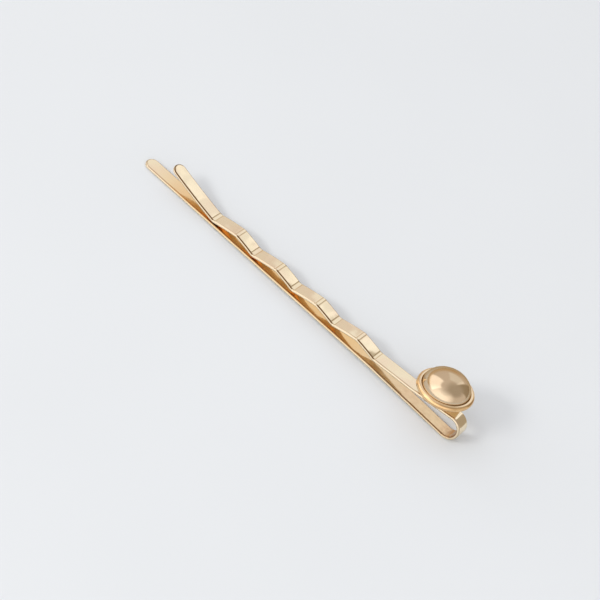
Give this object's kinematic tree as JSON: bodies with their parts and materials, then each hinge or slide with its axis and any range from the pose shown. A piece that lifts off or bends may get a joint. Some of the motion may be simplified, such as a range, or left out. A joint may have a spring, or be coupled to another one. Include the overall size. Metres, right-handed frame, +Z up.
{
  "type": "hair grip",
  "caption": "Gold-plated hair grip: a flat spring strip folded into a straight leg and a crimped leg, with a domed round ornament in a bezel cup beside the bend.",
  "frame": {"origin": "centre of the bounding box's footprint, on the plane under the bend, which is the lowest point", "axes": "+X from the open tips to the closed bend, +Y across the strip, +Z up from the straight leg to the ornament"},
  "size_m": [0.05, 0.007, 0.0073],
  "materials": {
    "gold_plated_spring_steel": "polished pale gold plating",
    "gold_plated_brass": "polished gold plating",
    "polished_gold_dome": "mirror polished pale gold plating",
    "plated_solder": "flowed solder under plating",
    "clear_cement": "set clear cement"
  },
  "bodies": {
    "straight_side": {"straight_leg": "gold_plated_spring_steel", "spring_bend": "gold_plated_spring_steel"},
    "crimped_side": {"crimped_leg": "gold_plated_spring_steel", "solder_joint": "plated_solder", "bezel_cup": "gold_plated_brass", "adhesive_bed": "clear_cement", "dome_cap": "polished_gold_dome"}
  },
  "joints": [
    {"name": "leg_opening", "type": "hinge", "parent": "straight_side", "child": "crimped_side", "pos_m": [0.02421, 0, 0.00172], "axis": [0, 1, 0], "range_deg": [0, 12], "stiffness_Nm_per_rad": 0.4, "deforming": ["spring_bend"]}
  ]
}
